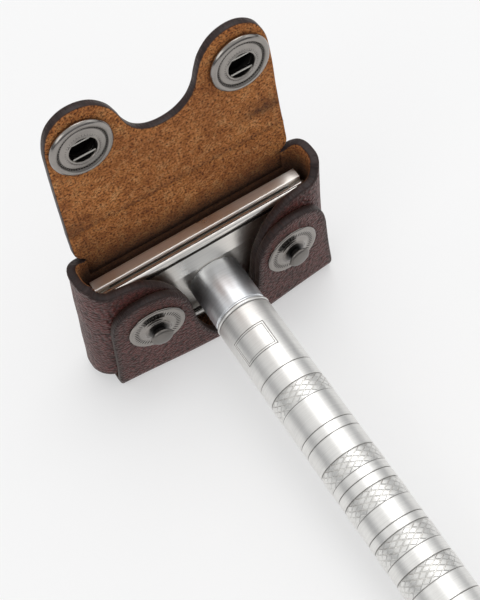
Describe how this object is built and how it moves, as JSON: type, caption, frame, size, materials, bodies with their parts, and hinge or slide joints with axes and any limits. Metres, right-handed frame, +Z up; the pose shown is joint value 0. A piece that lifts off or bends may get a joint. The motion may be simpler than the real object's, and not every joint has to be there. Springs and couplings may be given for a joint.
{
  "type": "safety razor in leather sheath",
  "caption": "Double-edge safety razor with a grooved metal handle, its head resting in an open leather travel sheath closed by snap fasteners.",
  "frame": {"origin": "middle of the footprint on the surface that the razor and sheath lie on", "axes": "+Z up from the surface, +Y from the handle's end towards the sheath and the razor's head, +X along the blade"},
  "size_m": [0.0494, 0.1004, 0.0661],
  "materials": {
    "brushed_steel": "fine satin, turned",
    "polished_steel": "polished",
    "blade_steel": "bright, ground edges",
    "leather": "burgundy brown pebbled grain outside, rough orange-brown suede inside",
    "snap_metal": "dark nickel plate",
    "spring_wire": "bright drawn wire"
  },
  "bodies": {
    "sheath": {"wrap_panel": "leather", "lobe_panel": "leather", "stud_left": "snap_metal", "stud_right": "snap_metal", "stud_eyelet_left": "snap_metal", "stud_eyelet_right": "snap_metal"},
    "flap_back": {"flap_bridge": "leather"},
    "flap_tip": {"flap_front": "leather", "socket_left": "snap_metal", "socket_right": "snap_metal", "socket_spring_left": "spring_wire", "socket_spring_right": "spring_wire", "socket_cap_left": "snap_metal", "socket_cap_right": "snap_metal"},
    "head": {"cap_plate": "brushed_steel", "cap_stud": "polished_steel", "cap_pin_left": "polished_steel", "cap_pin_right": "polished_steel", "blade": "blade_steel", "base_plate": "brushed_steel"},
    "neck": {"neck_collar": "polished_steel"},
    "handle": {"grip_tube": "brushed_steel", "end_plug": "brushed_steel"}
  },
  "joints": [
    {"name": "flap_back_fold", "type": "hinge", "parent": "sheath", "child": "flap_back", "pos_m": [0, 0.04514, 0.03114], "axis": [1, 0, 0], "range_deg": [-25, 93.5]},
    {"name": "flap_front_fold", "type": "hinge", "parent": "flap_back", "child": "flap_tip", "pos_m": [0, 0.04451, 0.04513], "axis": [1, 0, 0], "range_deg": [-20, 90]},
    {"name": "razor_lift", "type": "slide", "parent": "sheath", "child": "head", "axis": [0, -0.1059, 0.9944], "range_m": [0, 0.052]},
    {"name": "thread_travel", "type": "slide", "parent": "head", "child": "neck", "axis": [0, -0.9944, -0.1059], "range_m": [0, 0.0056]},
    {"name": "handle_turn", "type": "hinge", "parent": "neck", "child": "handle", "pos_m": [0, 0.00006, 0.01065], "axis": [0, -0.9944, -0.1059], "range_deg": [0, 2520.1]}
  ],
  "couplings": [
    {"joint": "handle_turn", "follows": "thread_travel", "rad_per_m": 7854}
  ]
}
